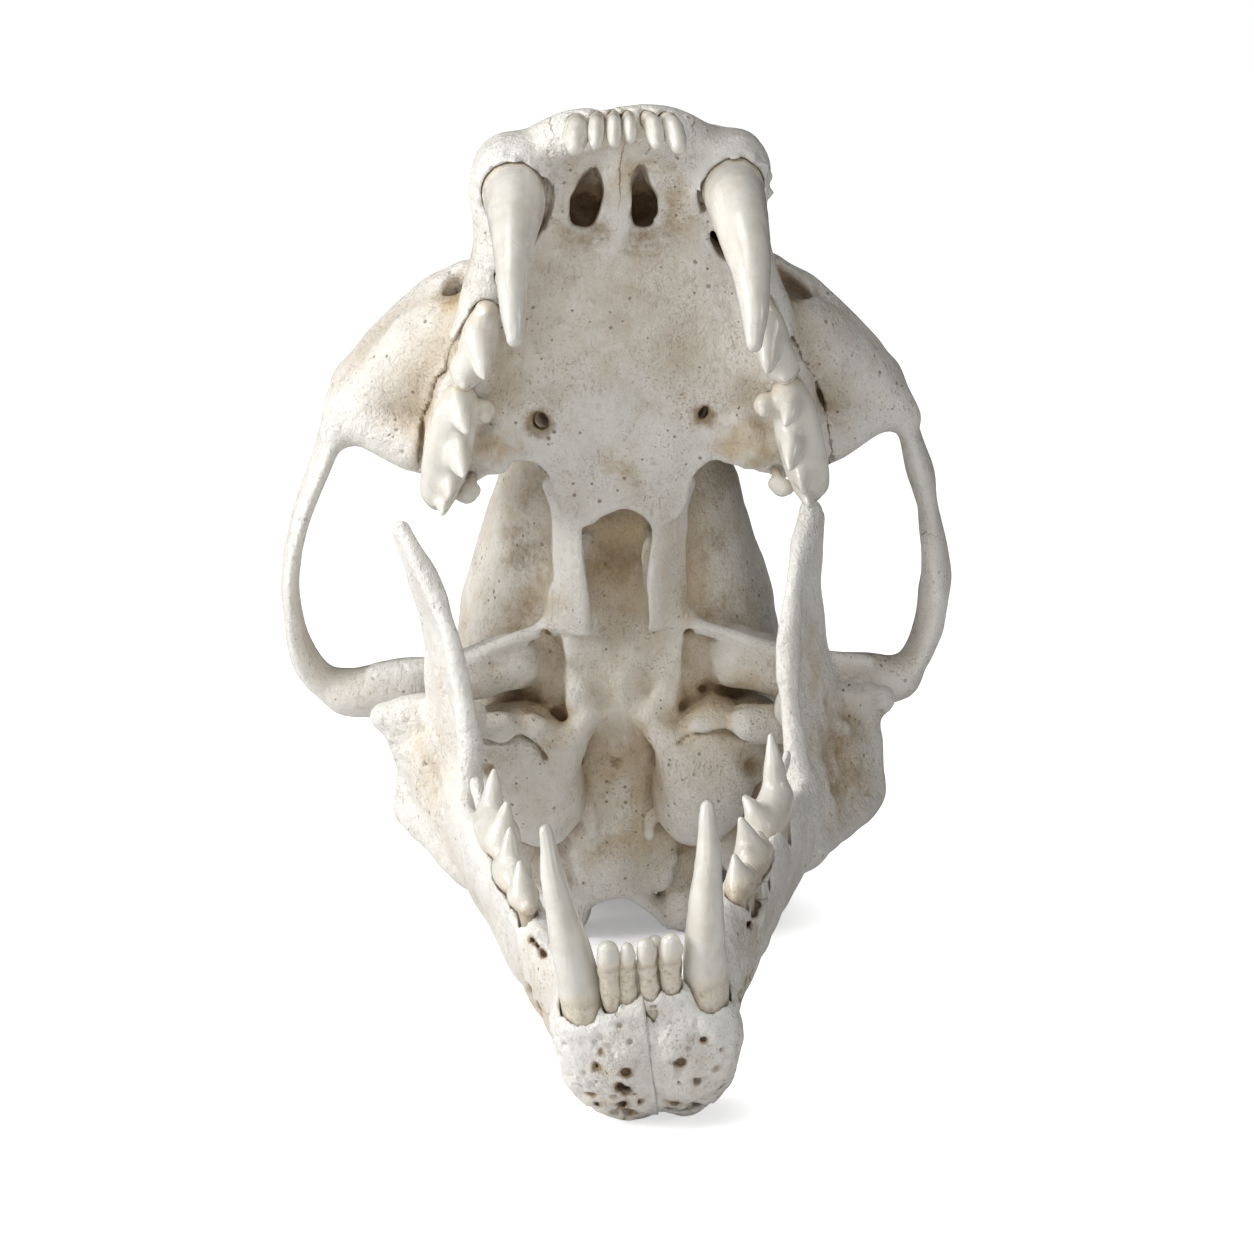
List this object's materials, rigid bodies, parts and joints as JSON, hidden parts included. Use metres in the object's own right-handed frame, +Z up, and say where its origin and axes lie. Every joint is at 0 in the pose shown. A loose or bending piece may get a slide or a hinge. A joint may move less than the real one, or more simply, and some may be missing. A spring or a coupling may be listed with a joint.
{
  "type": "leopard skull",
  "caption": "Bare leopard skull with its jaws wide open, standing on the back of the cranium and the chin; long curved canines, small incisors and shearing cheek teeth.",
  "frame": {"origin": "centre of the footprint, on the surface that the skull rests on", "axes": "+Z up, towards the snout; -Y is the side that the open mouth faces, with the lower jaw reaching forward; +X is the animal's left"},
  "size_m": [0.1357, 0.2004, 0.1767],
  "materials": {
    "bone": "matte, slightly porous, warm grey-white with brown staining",
    "enamel": "glossy, pearly"
  },
  "bodies": {
    "root": {"canine_lower_left": "enamel", "canine_lower_right": "enamel", "canine_upper_left": "enamel", "canine_upper_right": "enamel", "carnassial_lower_left": "enamel", "carnassial_lower_right": "enamel", "carnassial_upper_left": "enamel", "carnassial_upper_right": "enamel", "cranium": "bone", "dentary_left": "bone", "dentary_right": "bone", "incisor_lower_left_1": "enamel", "incisor_lower_left_2": "enamel", "incisor_lower_left_3": "enamel", "incisor_lower_right_2": "enamel", "incisor_lower_right_3": "enamel", "incisor_upper_left_1": "enamel", "incisor_upper_left_2": "enamel", "incisor_upper_left_3": "enamel", "incisor_upper_right_1": "enamel", "incisor_upper_right_2": "enamel", "incisor_upper_right_3": "enamel", "molar_upper_left": "enamel", "molar_upper_right": "enamel", "premolar_lower_left_3": "enamel", "premolar_lower_left_4": "enamel", "premolar_lower_right_3": "enamel", "premolar_lower_right_4": "enamel", "premolar_upper_left_2": "enamel", "premolar_upper_left_3": "enamel", "premolar_upper_right_2": "enamel", "premolar_upper_right_3": "enamel"}
  },
  "joints": []
}
